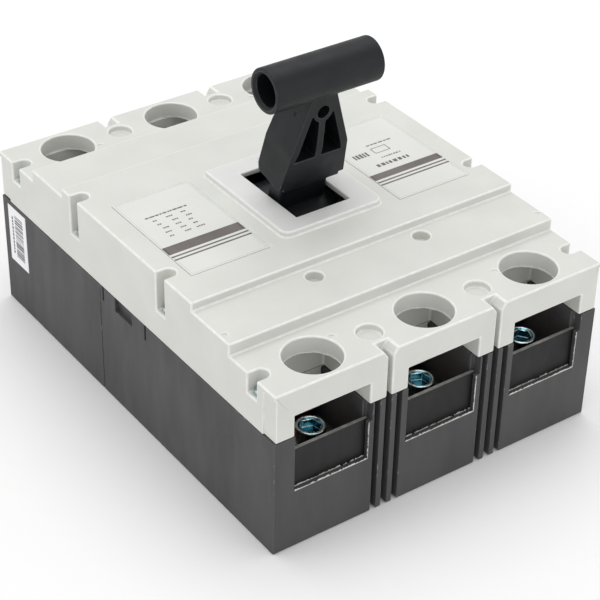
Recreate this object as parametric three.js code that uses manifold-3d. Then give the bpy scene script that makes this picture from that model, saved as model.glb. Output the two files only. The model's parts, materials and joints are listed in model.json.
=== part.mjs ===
// Three-pole molded case circuit breaker, 800 A frame size.
// Millimetres, +Z up. Origin: centre of the mounting face (Z = 0).
// X runs across the poles, Y from the line end (-Y) to the load end (+Y).

import * as THREE from 'three';
import { mergeVertices } from 'three/addons/utils/BufferGeometryUtils.js';
import Module from 'manifold-3d';

const wasm = await Module();
wasm.setup();

// ---------------------------------------------------------------- driving dimensions

const WIDTH = 210;
const LENGTH = 280;
const HALF_W = WIDTH / 2;
const HALF_L = LENGTH / 2;
const GAP = 0.3;
const THROUGH = 2;                 // how far a cut runs past the face it opens
const ROOT = 1;                    // how far an added solid reaches into the one it joins

const PITCH = 70;                  // between pole centres
const POLES = [-PITCH, 0, PITCH];
const BETWEEN = [-PITCH / 2, PITCH / 2];
const SIDES = [-1, 1];
const ENDS = [{ name: 'line', dir: -1, windowTop: 83.8 }, { name: 'load', dir: 1, windowTop: 79.5 }];

const JOINT_Z = 71;                // base and cover meet here
const BASE_TOP = JOINT_Z - GAP / 2;
const COVER_BOTTOM = JOINT_Z + GAP / 2;
const FLOOR = 6;
const LOW_Z = 100;                 // cover over the terminals
const MID_Z = 107;
const TOP_Z = 112;                 // main face of the cover
const PLATE_Z = 115.5;             // raised surround of the handle
const MID_Y = 66;
const LOW_Y = 100;
const COVER_WALL = 4;
const LABEL_POCKET = 0.5;
const LABEL_X = [43, 91.3];
const LABEL_Y = [-45, 35];
const LABEL_THICK = 0.2;
const STICKER_Y = [113, 134];
const STICKER_Z = [30, 68];

const CHAMBER_HALF = 31;           // inside of one pole, from its centre
const WALL_IN = 96;                // cross wall between terminals and interior
const WALL_OUT = 100;

const TERMINAL_Y = 121.5;
const BAY_HALF = 22.5;
const SILL_Z = 36.8;
const BAR_Z = [SILL_Z + GAP, SILL_Z + GAP + 5];
const BAR_HALF = 15;
const BAR_END = 133.5;
const BAR_HOLE = 5.4;
const LINE_BAR_INNER = 46;         // inner ends of the terminal bars
const LOAD_BAR_INNER = 50;
const LUG_ROOM = 2.15;             // the bolts stand backed off by this much, ready for a lug
const BOLT_SHANK = 4.9;            // M10
const BOLT_WELL = 6;
const BOLT_WELL_LOW = 16;
const BOLT_LOW = 20;
const WASHER_RADIUS = 10.5;
const WASHER_THICK = 1.6;
const LOCK_RADIUS = 8.8;
const LOCK_THICK = 2;
const BOLT_HEAD_RADIUS = 8;
const BOLT_HEAD_HEIGHT = 8.6;
const BOLT_SOCKET = 10;            // across flats
const BOLT_SOCKET_DEPTH = 5;
const ACCESS_RADIUS = 15.5;
const COLLAR_RADIUS = 19;
const COLLAR_Z = 90.5;
const WINDOW_HALF = 23;

const SHUTTER_Y = [135, 137];
const SHUTTER_HALF = 24;
const SHUTTER_Z = [35, 60.3];

const MOUNT_HEAD = 7;              // counterbore radius of a mounting hole
const MOUNT_HOLE = 3.5;
const MOUNT_SEAT = 14;

const SCREW_X = 99.5;
const SCREW_YS = [-120, -36, 53, 120];
const SCREW_RECESS = 4;
const SCREW_SEAT = 88;
const SCREW_HOLE = 2.4;
const SCREW_SHANK = 2;
const SCREW_LOW = 48;
const SCREW_HEAD_RADIUS = 3.5;
const SCREW_HEAD_HEIGHT = 2.8;
const SCREW_CROSS = { half: 2, slotHalf: 0.5, depth: 1.2 };

const HANDLE_Y = 2;                // handle pivot
const HANDLE_Z = 68;
const HANDLE_LEAN = 12.5;          // degrees towards the line end, as it stands tripped
const WINDOW_Y = [-33, 20.5];
const WINDOW_X = 17.5;
const PLATE_X = 32.5;
const PLATE_Y = [-43.8, 34];
const PLATE_CORNERS = [5, 1.5];    // corner radii, line end and load end

const SHAFT_Y = 6;                 // contact shaft
const SHAFT_Z = 44;
const SHAFT_RADIUS = 11;
const SHAFT_OPEN = 10.5;           // degrees open from closed contacts, as it stands tripped

const TRIP_Y = 48;
const TRIP_Z = 64;
const TRIP_RADIUS = 4;

const PLATE_INNER = 17;            // mechanism side plates
const PLATE_THICK = 2;
const CRADLE_Y = -18;
const CRADLE_Z = 80;
const SPACER = { y: 32, z: 32 };
const PIN_RADIUS = 2.5;
const PIN_HOLE = 2.8;

// ---------------------------------------------------------------- solids

function toSolid(geometry) {
  geometry.deleteAttribute('normal');
  geometry.deleteAttribute('uv');
  const merged = mergeVertices(geometry, 1e-4);
  return new wasm.Manifold(new wasm.Mesh({
    numProp: 3,
    vertProperties: new Float32Array(merged.attributes.position.array),
    triVerts: new Uint32Array(merged.index.array),
  }));
}

const span = (centre, half) => [centre - half, centre + half];

function mirrored(range, side) {
  return side > 0 ? range : [-range[1], -range[0]];
}

function block(x, y, z) {
  const geometry = new THREE.BoxGeometry(x[1] - x[0], y[1] - y[0], z[1] - z[0]);
  geometry.translate((x[0] + x[1]) / 2, (y[0] + y[1]) / 2, (z[0] + z[1]) / 2);
  return toSolid(geometry);
}

function rodZ(x, y, radius, z, segments = 20) {
  const geometry = new THREE.CylinderGeometry(radius, radius, z[1] - z[0], segments);
  geometry.rotateX(Math.PI / 2);
  geometry.translate(x, y, (z[0] + z[1]) / 2);
  return toSolid(geometry);
}

function rodX(y, z, radius, x, segments = 20) {
  const geometry = new THREE.CylinderGeometry(radius, radius, x[1] - x[0], segments);
  geometry.rotateZ(Math.PI / 2);
  geometry.translate((x[0] + x[1]) / 2, y, z);
  return toSolid(geometry);
}

function rodY(x, z, radius, y, segments = 20) {
  const geometry = new THREE.CylinderGeometry(radius, radius, y[1] - y[0], segments);
  geometry.translate(x, (y[0] + y[1]) / 2, z);
  return toSolid(geometry);
}

const AXES = {
  x: new THREE.Vector3(1, 0, 0),
  y: new THREE.Vector3(0, 1, 0),
  z: new THREE.Vector3(0, 0, 1),
};

// An outline pushed along one axis; its own two coordinates are the next two axes in turn.
function prism(axis, outline, range, curveSegments = 8) {
  const shape = Array.isArray(outline)
    ? new THREE.Shape(outline.map(([a, b]) => new THREE.Vector2(a, b)))
    : outline;
  const geometry = new THREE.ExtrudeGeometry(shape, {
    depth: range[1] - range[0], bevelEnabled: false, curveSegments,
  });
  geometry.translate(0, 0, range[0]);
  const order = { x: ['y', 'z', 'x'], y: ['z', 'x', 'y'], z: ['x', 'y', 'z'] }[axis];
  geometry.applyMatrix4(new THREE.Matrix4().makeBasis(...order.map((name) => AXES[name])));
  return toSolid(geometry);
}

function roundedRect(x, y, nearRadius, farRadius) {
  const shape = new THREE.Shape();
  shape.moveTo(x[0] + nearRadius, y[0]);
  shape.lineTo(x[1] - nearRadius, y[0]);
  shape.absarc(x[1] - nearRadius, y[0] + nearRadius, nearRadius, -Math.PI / 2, 0);
  shape.lineTo(x[1], y[1] - farRadius);
  shape.absarc(x[1] - farRadius, y[1] - farRadius, farRadius, 0, Math.PI / 2);
  shape.lineTo(x[0] + farRadius, y[1]);
  shape.absarc(x[0] + farRadius, y[1] - farRadius, farRadius, Math.PI / 2, Math.PI);
  shape.lineTo(x[0], y[0] + nearRadius);
  shape.absarc(x[0] + nearRadius, y[0] + nearRadius, nearRadius, Math.PI, Math.PI * 1.5);
  return shape;
}

const join = (solids) => solids.reduce((whole, solid) => whole.add(solid));

// ---------------------------------------------------------------- materials and nodes

function finish(color, roughness, metalness = 0) {
  return new THREE.MeshStandardMaterial({ color, roughness, metalness });
}

const FINISHES = {
  cover: () => finish(0xdcddd8, 0.55),
  base: () => finish(0x5c5b5b, 0.7),
  black: () => finish(0x26282b, 0.5),
  shutter: () => finish(0x3a3a3a, 0.6),
  zinc: () => finish(0xa9b4b8, 0.35, 0.9),
  steel: () => finish(0x9a9c9e, 0.4, 0.9),
  copper: () => finish(0xb87348, 0.35, 0.9),
  fibre: () => finish(0x8d8f93, 0.6, 0.4),
  bimetal: () => finish(0xb3a98f, 0.4, 0.8),
  moulded: () => finish(0x7a4a2c, 0.6),
  paper: () => finish(0xe6e7e3, 0.6),
};

const breaker = new THREE.Group();

function node(name, solid, finishName, parent = breaker) {
  const { numProp, vertProperties, triVerts } = solid.getMesh();
  const geometry = new THREE.BufferGeometry();
  geometry.setAttribute('position', new THREE.BufferAttribute(vertProperties, numProp));
  geometry.setIndex(new THREE.BufferAttribute(triVerts, 1));
  const mesh = new THREE.Mesh(geometry, FINISHES[finishName]());
  mesh.name = name;
  parent.add(mesh);
}

function turnedGroup(y, z, degrees) {
  const group = new THREE.Group();
  group.position.set(0, y, z);
  group.rotation.x = THREE.MathUtils.degToRad(degrees);
  breaker.add(group);
  return group;
}

// ---------------------------------------------------------------- base

const TRENCHES = [[26.3, 29.8], [33.1, 36.9], [40.2, 43.7]];   // between poles, at each end
const TRENCH_DEPTH = 9;
const NOTCH = { width: 2.6, depth: 5, low: 60 };               // beside each terminal bay
const BAR_RESTS = [[-62, -46], [52, 62]];                      // along Y, under the terminal bars
const BAR_REST_HALF = 8;
const CORE_REST = { half: 12, y: [75, 91], top: 30.7 };
const BOSS_INNER = 93;
const BOSS_HALF = 6.5;
const BEARING_HALF = 6;            // half the length of a cut where a shaft crosses between poles
const SHAFT_PLAY = 0.4;
const SIDE_MARKS = [
  { y: 27.6, half: 0.5, depth: 0.6, low: -THROUGH },
  { y: 24.4, half: 0.9, depth: 2, low: 61.5 },
  { y: -19.3, half: 0.9, depth: 2, low: 61 },
  { y: 3, half: 8.8, depth: 3, low: 62 },
];

function terminalBay(x, dir) {
  const open = [SILL_Z, BASE_TOP + THROUGH];
  const cuts = [
    block(span(x, BAY_HALF), mirrored([WALL_OUT, HALF_L + THROUGH], dir), open),
    block(span(x, BAY_HALF), mirrored([WALL_IN - THROUGH, WALL_OUT + THROUGH], dir), open),
    block(
      span(x, SHUTTER_HALF + 0.5),
      mirrored([SHUTTER_Y[0] - GAP, SHUTTER_Y[1] + GAP], dir),
      [SHUTTER_Z[0] - GAP, BASE_TOP + THROUGH],
    ),
    block(
      [x + BAY_HALF - ROOT, x + BAY_HALF + NOTCH.width],
      mirrored([HALF_L - NOTCH.depth, HALF_L + THROUGH], dir),
      [NOTCH.low, BASE_TOP + THROUGH],
    ),
    rodZ(x, dir * TERMINAL_Y, BOLT_WELL, [BOLT_WELL_LOW, SILL_Z + THROUGH], 12),
  ];
  return join(cuts);
}

function poleSupports(x) {
  const rests = BAR_RESTS.map((y) => block(span(x, BAR_REST_HALF), y, [FLOOR - ROOT, SILL_Z]));
  return join([...rests, block(span(x, CORE_REST.half), CORE_REST.y, [FLOOR - ROOT, CORE_REST.top])]);
}

function sideMarks(side) {
  return join(SIDE_MARKS.map(({ y, half, depth, low }) => (
    block(mirrored([HALF_W - depth, HALF_W + THROUGH], side), span(y, half), [low, BASE_TOP + THROUGH])
  )));
}

function screwBosses(side) {
  const x = mirrored([BOSS_INNER, HALF_W - ROOT], side);
  return join(SCREW_YS.map((y) => block(x, span(y, BOSS_HALF), [FLOOR - ROOT, BASE_TOP])));
}

// A slot open at the top, with a round floor, for a shaft that runs across the poles.
function shaftSeat(x, y, z, radius, segments) {
  const wide = radius + SHAFT_PLAY;
  const along = span(x, BEARING_HALF);
  return rodX(y, z, wide, along, segments).add(block(along, span(y, wide), [z, BASE_TOP + THROUGH]));
}

function mountingBore(x, y) {
  return rodZ(x, y, MOUNT_HEAD, [MOUNT_SEAT, BASE_TOP + THROUGH], 16)
    .add(rodZ(x, y, MOUNT_HOLE, [-THROUGH, MOUNT_SEAT + ROOT], 12));
}

function endTrenches(x, dir) {
  const y = mirrored([HALF_L - TRENCH_DEPTH, HALF_L + THROUGH], dir);
  return join(TRENCHES.map((trench) => (
    block(mirrored(trench, Math.sign(x)), y, [-THROUGH, BASE_TOP + THROUGH])
  )));
}

function baseCuts() {
  const cuts = [];
  for (const end of ENDS) {
    for (const x of POLES) cuts.push(terminalBay(x, end.dir));
    for (const x of BETWEEN) cuts.push(mountingBore(x, end.dir * TERMINAL_Y), endTrenches(x, end.dir));
  }
  for (const x of BETWEEN) {
    cuts.push(shaftSeat(x, SHAFT_Y, SHAFT_Z, SHAFT_RADIUS, 24));
    cuts.push(shaftSeat(x, TRIP_Y, TRIP_Z, TRIP_RADIUS, 16));
  }
  const screwHole = [SCREW_LOW - THROUGH, BASE_TOP + THROUGH];
  for (const side of SIDES) {
    cuts.push(sideMarks(side));
    for (const y of SCREW_YS) cuts.push(rodZ(side * SCREW_X, y, SCREW_HOLE, screwHole, 8));
  }
  const stickerPocket = [STICKER_Y, STICKER_Z].map(([low, high]) => [low - GAP, high + GAP]);
  cuts.push(block([-HALF_W - THROUGH, -HALF_W + LABEL_POCKET], ...stickerPocket));
  return join(cuts);
}

function buildBase() {
  const whole = block([-HALF_W, HALF_W], [-HALF_L, HALF_L], [0, BASE_TOP]);
  const chamber = [FLOOR, BASE_TOP + THROUGH];
  const chambers = POLES.map((x) => block(span(x, CHAMBER_HALF), [-WALL_IN, WALL_IN], chamber));
  return whole
    .subtract(join(chambers))
    .add(join([...POLES.map(poleSupports), ...SIDES.map(screwBosses)]))
    .subtract(baseCuts());
}

// ---------------------------------------------------------------- cover

const RIB = [33, 37];              // rib between two poles, inside the cover
const COVER_BOSS_INNER = 92;
const COVER_BOSS_HALF = 7.5;
const SLOT_HALF = 1.5;             // slot between two poles at each end
const SLOT_MOUTH = { depth: 5, deepHalf: 1, topHalf: 5 };
const PIT = { y: -74, radius: 4.8, depth: 6, boss: 7, floor: 3 };     // line end only
const DOT = { radius: 1.8, depth: 1.2 };
const LOW_DOT = { x: 52.85, y: 114 };
const MID_DOT = { x: 101.8, y: -91.6 };                        // line end only
const BORE_WIDE = 8.5;             // radius of a mounting bore below the cover's top wall
const CORNER = { depth: 1, y: 130, drop: 3 };
const HANDLE_ROOM = { x: 23.5, y: [-41, 31] };                 // hollow below the handle's window
const TONGUE_HALF = BAY_HALF - GAP;

function coverHollow() {
  const below = COVER_BOTTOM - THROUGH;
  const rooms = [];
  const bays = [[-HALF_W + COVER_WALL, -RIB[1]], [-RIB[0], RIB[0]], [RIB[1], HALF_W - COVER_WALL]];
  for (const x of bays) {
    rooms.push(block(x, span(0, MID_Y - COVER_WALL), [below, TOP_Z - COVER_WALL]));
    rooms.push(block(x, [-WALL_IN, WALL_IN], [below, MID_Z - COVER_WALL]));
  }
  const bosses = SIDES.flatMap((side) => SCREW_YS.map((y) => (
    block(mirrored([COVER_BOSS_INNER, HALF_W], side), span(y, COVER_BOSS_HALF), [below, TOP_Z])
  )));
  for (const x of BETWEEN) bosses.push(rodZ(x, PIT.y, PIT.boss, [MID_Z - PIT.depth - PIT.floor, MID_Z], 14));
  return join(rooms).subtract(join(bosses));
}

function coverTerminal(x, { dir, windowTop }) {
  const below = COVER_BOTTOM - THROUGH;
  const y = dir * TERMINAL_Y;
  const room = block(span(x, WINDOW_HALF), mirrored([WALL_OUT, HALF_L - COVER_WALL], dir),
    [below, LOW_Z - COVER_WALL]);
  const collar = rodZ(x, y, COLLAR_RADIUS, [COLLAR_Z, LOW_Z], 16);
  const window = block(span(x, WINDOW_HALF), mirrored([HALF_L - COVER_WALL - ROOT, HALF_L + THROUGH], dir),
    [below, windowTop]);
  const access = rodZ(x, y, ACCESS_RADIUS, [COLLAR_Z - ROOT, LOW_Z + THROUGH], 24);
  return join([room.subtract(collar), window, access]);
}

function phaseSlot(x, dir) {
  const y = mirrored([HALF_L - TRENCH_DEPTH, HALF_L + THROUGH], dir);
  const slot = block(span(x, SLOT_HALF), y, [COVER_BOTTOM - THROUGH, LOW_Z + THROUGH]);
  const [deep, top] = [LOW_Z - SLOT_MOUTH.depth, LOW_Z + ROOT];
  const mouth = [
    [deep, x - SLOT_MOUTH.deepHalf], [deep, x + SLOT_MOUTH.deepHalf],
    [top, x + SLOT_MOUTH.topHalf], [top, x - SLOT_MOUTH.topHalf],
  ];
  return slot.add(prism('y', mouth, y));
}

// Mounting bore and slot between two poles, at one end.
function betweenPoles(x, dir) {
  const wall = LOW_Z - COVER_WALL;
  return join([
    rodZ(x, dir * TERMINAL_Y, MOUNT_HEAD, [wall - ROOT, LOW_Z + ROOT], 16),
    rodZ(x, dir * TERMINAL_Y, BORE_WIDE, [COVER_BOTTOM - ROOT, wall], 16),
    phaseSlot(x, dir),
  ]);
}

function coverCorner(side, dir) {
  const x = mirrored([HALF_W - CORNER.depth, HALF_W + THROUGH], side);
  const y = mirrored([CORNER.y, HALF_L + THROUGH], dir);
  return join([
    block(x, y, [COVER_BOTTOM - ROOT, LOW_Z - CORNER.drop]),
    rodZ(side * LOW_DOT.x, dir * LOW_DOT.y, DOT.radius, [LOW_Z - DOT.depth, LOW_Z + ROOT], 6),
  ]);
}

function screwRecess(side, y) {
  const up = [SCREW_SEAT, TOP_Z + ROOT];
  return join([
    rodZ(side * SCREW_X, y, SCREW_RECESS, up, 16),
    block(mirrored([SCREW_X, HALF_W + THROUGH], side), span(y, SCREW_RECESS), up),
    rodZ(side * SCREW_X, y, SCREW_HOLE, [COVER_BOTTOM - ROOT, SCREW_SEAT + ROOT], 8),
  ]);
}

function labelPocket(side) {
  const x = mirrored([LABEL_X[0] - GAP, LABEL_X[1] + GAP], side);
  const y = [LABEL_Y[0] - GAP, LABEL_Y[1] + GAP];
  return block(x, y, [TOP_Z - LABEL_POCKET, TOP_Z + ROOT]);
}

function coverCuts() {
  const cuts = [coverHollow()];
  for (const end of ENDS) {
    for (const x of POLES) cuts.push(coverTerminal(x, end));
    for (const x of BETWEEN) cuts.push(betweenPoles(x, end.dir));
    for (const side of SIDES) cuts.push(coverCorner(side, end.dir));
  }
  for (const x of BETWEEN) cuts.push(rodZ(x, PIT.y, PIT.radius, [MID_Z - PIT.depth, MID_Z + ROOT], 14));
  for (const side of SIDES) {
    cuts.push(rodZ(side * MID_DOT.x, MID_DOT.y, DOT.radius, [MID_Z - DOT.depth, MID_Z + ROOT], 6));
    for (const y of SCREW_YS) cuts.push(screwRecess(side, y));
    cuts.push(labelPocket(side));
  }
  cuts.push(block([-WINDOW_X, WINDOW_X], WINDOW_Y, [TOP_Z - ROOT, PLATE_Z + ROOT]));
  cuts.push(block([-HANDLE_ROOM.x, HANDLE_ROOM.x], HANDLE_ROOM.y, [TOP_Z - COVER_WALL - ROOT, TOP_Z]));
  return join(cuts);
}

function buildCover() {
  const steps = [
    [HALF_L, COVER_BOTTOM], [HALF_L, LOW_Z], [LOW_Y, LOW_Z], [LOW_Y, MID_Z], [MID_Y, MID_Z], [MID_Y, TOP_Z],
  ];
  const outline = [...steps, ...steps.map(([y, z]) => [-y, z]).reverse()];
  const shell = prism('x', outline, [-HALF_W, HALF_W]);
  const plate = roundedRect([-PLATE_X, PLATE_X], PLATE_Y, ...PLATE_CORNERS);
  const surround = prism('z', plate, [TOP_Z - ROOT, PLATE_Z], 5);
  let cover = shell.add(surround).subtract(coverCuts());
  for (const x of POLES) {
    for (const end of ENDS) {
      const tongue = block(span(x, TONGUE_HALF), mirrored([WALL_IN + GAP, WALL_OUT - GAP], end.dir),
        [BAR_Z[1] + LUG_ROOM, COVER_BOTTOM + ROOT]);
      cover = cover.add(tongue);
    }
  }
  return cover;
}

// ---------------------------------------------------------------- terminals and fasteners

const CONTACT_PAD = { half: 5, y: [-57.5, -47.5], height: 4.8 };

function terminalBar(x, dir, inner) {
  const bar = block(span(x, BAR_HALF), mirrored([inner, BAR_END], dir), BAR_Z);
  const hole = rodZ(x, dir * TERMINAL_Y, BAR_HOLE, [BAR_Z[0] - THROUGH, BAR_Z[1] + THROUGH], 12);
  return bar.subtract(hole);
}

function lineTerminal(x) {
  const z = [BAR_Z[1] - ROOT, BAR_Z[1] + CONTACT_PAD.height];
  const pad = block(span(x, CONTACT_PAD.half), CONTACT_PAD.y, z);
  return terminalBar(x, -1, LINE_BAR_INNER).add(pad);
}

function hexSocket(x, y, acrossFlats, z) {
  return rodZ(x, y, acrossFlats / Math.sqrt(3), z, 6);
}

function terminalBolt(x, y) {
  const seat = BAR_Z[1] + LUG_ROOM;
  const lock = seat + WASHER_THICK;
  const head = lock + LOCK_THICK;
  const top = head + BOLT_HEAD_HEIGHT;
  return join([
    rodZ(x, y, WASHER_RADIUS, [seat, lock], 18),
    rodZ(x, y, LOCK_RADIUS, [lock - ROOT, head], 16),
    rodZ(x, y, BOLT_HEAD_RADIUS, [head - ROOT, top], 18),
    rodZ(x, y, BOLT_SHANK, [BOLT_LOW, seat + ROOT], 10),
  ]).subtract(hexSocket(x, y, BOLT_SOCKET, [top - BOLT_SOCKET_DEPTH, top + THROUGH]));
}

function coverScrew(x, y) {
  const seat = SCREW_SEAT + GAP;
  const top = seat + SCREW_HEAD_HEIGHT;
  const recess = [top - SCREW_CROSS.depth, top + THROUGH];
  const cross = block(span(x, SCREW_CROSS.half), span(y, SCREW_CROSS.slotHalf), recess)
    .add(block(span(x, SCREW_CROSS.slotHalf), span(y, SCREW_CROSS.half), recess));
  return rodZ(x, y, SCREW_HEAD_RADIUS, [seat, top], 12)
    .add(rodZ(x, y, SCREW_SHANK, [SCREW_LOW, seat + ROOT], 8))
    .subtract(cross);
}

function shutter(x, dir) {
  return block(span(x, SHUTTER_HALF), mirrored(SHUTTER_Y, dir), SHUTTER_Z);
}

// ---------------------------------------------------------------- arc chutes and contacts

const CHUTE_PLATES = 8;
const CHUTE_STEP = 5.6;
const CHUTE_FIRST = 52;            // height of the lowest plate
const CHUTE_THICK = 1.6;
const CHUTE_CHEEK = [19, 20.5];
const CHUTE_Y = [-92, -50];
const CHUTE_Z = [48, 97];
const CHUTE_OUTLINE = [
  [-19.5, -91], [19.5, -91], [19.5, -49], [8, -49], [7, -70],
  [2.5, -76], [-2.5, -76], [-7, -70], [-8, -49], [-19.5, -49],
];

function arcChute(x) {
  const cheeks = SIDES.map((side) => (
    block(mirrored(CHUTE_CHEEK, side).map((v) => v + x), CHUTE_Y, CHUTE_Z)
  ));
  const outline = CHUTE_OUTLINE.map(([a, b]) => [a + x, b]);
  const plates = [];
  for (let index = 0; index < CHUTE_PLATES; index += 1) {
    const z = CHUTE_FIRST + index * CHUTE_STEP;
    plates.push(prism('z', outline, [z, z + CHUTE_THICK]));
  }
  return join([...cheeks, ...plates]);
}

// Shaft parts are drawn about the shaft's own axis with the contacts closed.
const ARM_LOW = 50 - SHAFT_Z;
const ARM_HIGH = 58 - SHAFT_Z;
const ARM_HEEL = 9;
const ARM_TIP = -58 - SHAFT_Y;
const ARM_HALF = 4.5;
const CONTACT_GAP = 0.4;           // between the closed contacts
const SHAFT_HALF = 96;
const CRANK = [-15, 2.5];
const CRANK_PLATE = [5.6, 7.6];
const CRANK_OUTLINE = [[2, -9], [-10, -7], [-18.5, 0], [-18.5, 5], [-12, 5.6], [2, 5.6]];
const CRANK_PIN = 2;
const KNEE = [-19.7, 18.7];
const LINK_PLATE = [8, 10];
const LINK_HALF = 3.4;

function contactArm(x) {
  const tipLow = BAR_Z[1] + CONTACT_PAD.height + CONTACT_GAP - SHAFT_Z;
  const outline = [
    [ARM_HEEL, ARM_LOW], [ARM_HEEL, ARM_HIGH], [-30, ARM_HIGH], [ARM_TIP, ARM_HIGH - 2.5],
    [ARM_TIP, tipLow], [ARM_TIP + 10, tipLow], [ARM_TIP + 10.5, ARM_LOW],
  ];
  return prism('x', outline, span(x, ARM_HALF));
}

function contactShaft() {
  const rod = rodX(0, 0, SHAFT_RADIUS, [-SHAFT_HALF, SHAFT_HALF], 24);
  const cranks = SIDES.map((side) => prism('x', CRANK_OUTLINE, mirrored(CRANK_PLATE, side)));
  const slots = POLES.map((x) => (
    block(span(x, ARM_HALF + GAP), span(0, SHAFT_RADIUS * 2), [ARM_LOW - GAP, SHAFT_RADIUS * 2])
  ));
  const pinHole = rodX(...CRANK, CRANK_PIN + GAP, span(0, CRANK_PLATE[1] + ROOT), 12);
  return join([rod, ...cranks]).subtract(join([...slots, pinHole]));
}

function toggleLink() {
  const slope = Math.atan2(KNEE[1] - CRANK[1], KNEE[0] - CRANK[0]);
  const [u, v] = [LINK_HALF * Math.sin(slope), LINK_HALF * Math.cos(slope)];
  const outline = [
    [CRANK[0] + u, CRANK[1] - v], [KNEE[0] + u, KNEE[1] - v],
    [KNEE[0] - u, KNEE[1] + v], [CRANK[0] - u, CRANK[1] + v],
  ];
  const plates = SIDES.flatMap((side) => [
    prism('x', outline, mirrored(LINK_PLATE, side)),
    rodX(...CRANK, LINK_HALF, mirrored(LINK_PLATE, side), 10),
    rodX(...KNEE, LINK_HALF, mirrored(LINK_PLATE, side), 10),
  ]);
  const crankPin = rodX(...CRANK, CRANK_PIN, span(0, LINK_PLATE[0] + ROOT), 8);
  const kneePin = rodX(...KNEE, PIN_RADIUS, span(0, LINK_PLATE[1] + ROOT), 10);
  return join([...plates, crankPin, kneePin]);
}

const BRAID_PATH = [[16.9, 52.2], [22, 50.5], [27, 44], [32, 37.5], [38, 36.6], [44, 39], [49.4, 40]];
const BRAID_HALF = [6, 1.3];

function flexibleBraid(x) {
  const path = new THREE.CatmullRomCurve3(BRAID_PATH.map(([y, z]) => new THREE.Vector3(x, y, z)));
  const corners = [[-1, -1], [1, -1], [1, 1], [-1, 1]];
  const section = new THREE.Shape(corners.map(([a, b]) => (
    new THREE.Vector2(a * BRAID_HALF[0], b * BRAID_HALF[1])
  )));
  return toSolid(new THREE.ExtrudeGeometry(section, { steps: 16, extrudePath: path, bevelEnabled: false }));
}

// ---------------------------------------------------------------- trip unit

const CORE = { half: 20, y: [76, 90], z: [31, 57], innerHalf: 15.6, seat: 0.5 };
const BIMETAL = { half: 5, y: [57, 70], foot: 1.5, thick: 1.2, top: 67 };
const TRIP_HALF = 90;
const TRIP_TAB = { half: 4.5, y: [51, 53.5], z: [50, 65] };    // one for each bimetal to push
const TRIP_LATCH = { half: 4, y: [46.5, 49.5], z: [66, 75] };

function magnetCore(x) {
  const outer = block(span(x, CORE.half), CORE.y, CORE.z);
  const through = [CORE.y[0] - ROOT, CORE.y[1] + ROOT];
  const inner = block(span(x, CORE.innerHalf), through, [BAR_Z[0] - CORE.seat, CORE.z[1] + ROOT]);
  return outer.subtract(inner);
}

function bimetalStrip(x) {
  const foot = BAR_Z[1] + GAP;
  const [near, far] = BIMETAL.y;
  const outline = [
    [near, foot], [far, foot], [far, foot + BIMETAL.foot], [near + BIMETAL.thick, foot + BIMETAL.foot],
    [near + BIMETAL.thick, BIMETAL.top], [near, BIMETAL.top],
  ];
  return prism('x', outline, span(x, BIMETAL.half));
}

function tripBar() {
  const rod = rodX(TRIP_Y, TRIP_Z, TRIP_RADIUS, [-TRIP_HALF, TRIP_HALF], 16);
  const tabs = POLES.map((x) => block(span(x, TRIP_TAB.half), TRIP_TAB.y, TRIP_TAB.z));
  return join([rod, ...tabs, block(span(0, TRIP_LATCH.half), TRIP_LATCH.y, TRIP_LATCH.z)]);
}

// ---------------------------------------------------------------- operating mechanism

const PLATE_FOOT = FLOOR + GAP;
const PLATE_OUTLINE = [[-26, PLATE_FOOT], [40, PLATE_FOOT], [40, 70], [28, 91], [-22, 91], [-26, 84]];
const FLANGE_OUTER = 27;
const FLANGES = [[-26, -8], [20, 40]];                         // along Y, turned out at the foot
const PLATE_PLAY = 0.7;            // round the contact shaft
const TRUNNION = { radius: 3, hole: 3.4 };
const CROSS_PIN_HALF = 21;
const CRADLE_HALF = 1.8;
const CRADLE_OUTLINE = [
  [-23, 76], [-14, 74.5], [8, 74.5], [40, 69.5], [44.5, 71.5],
  [44.5, 74.5], [40, 76.5], [10, 82], [-15, 86], [-23, 84],
];
const SPRING_X = 7.2;
const SPRING_ENDS = [[-10.6, 70.6], [-5.9, 97]];               // Y and Z
const SPRING_TURNS = 6;
const SPRING_SIDES = 8;            // straight pieces to a turn
const SPRING_RADIUS = 3;
const SPRING_WIRE = 0.7;

function sidePlate(side) {
  const flange = mirrored([PLATE_INNER, FLANGE_OUTER], side);
  const plate = join([
    prism('x', PLATE_OUTLINE, mirrored([PLATE_INNER, PLATE_INNER + PLATE_THICK], side)),
    ...FLANGES.map((y) => block(flange, y, [PLATE_FOOT, PLATE_FOOT + PLATE_THICK])),
  ]);
  const beyond = mirrored([PLATE_INNER - ROOT, FLANGE_OUTER + ROOT], side);
  const wide = SHAFT_RADIUS + PLATE_PLAY;
  return plate.subtract(join([
    rodX(SHAFT_Y, SHAFT_Z, wide, beyond, 24),
    block(beyond, span(SHAFT_Y, wide), [PLATE_FOOT - ROOT, SHAFT_Z]),
    rodX(HANDLE_Y, HANDLE_Z, TRUNNION.hole, beyond, 16),
    rodX(CRADLE_Y, CRADLE_Z, PIN_HOLE, beyond, 14),
    rodX(SPACER.y, SPACER.z, PIN_HOLE, beyond, 14),
  ]));
}

function crossPin(y, z) {
  return rodX(y, z, PIN_RADIUS, span(0, CROSS_PIN_HALF), 16);
}

function cradle() {
  return prism('x', CRADLE_OUTLINE, span(0, CRADLE_HALF))
    .subtract(rodX(CRADLE_Y, CRADLE_Z, PIN_HOLE, span(0, CRADLE_HALF + ROOT), 16));
}

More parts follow.
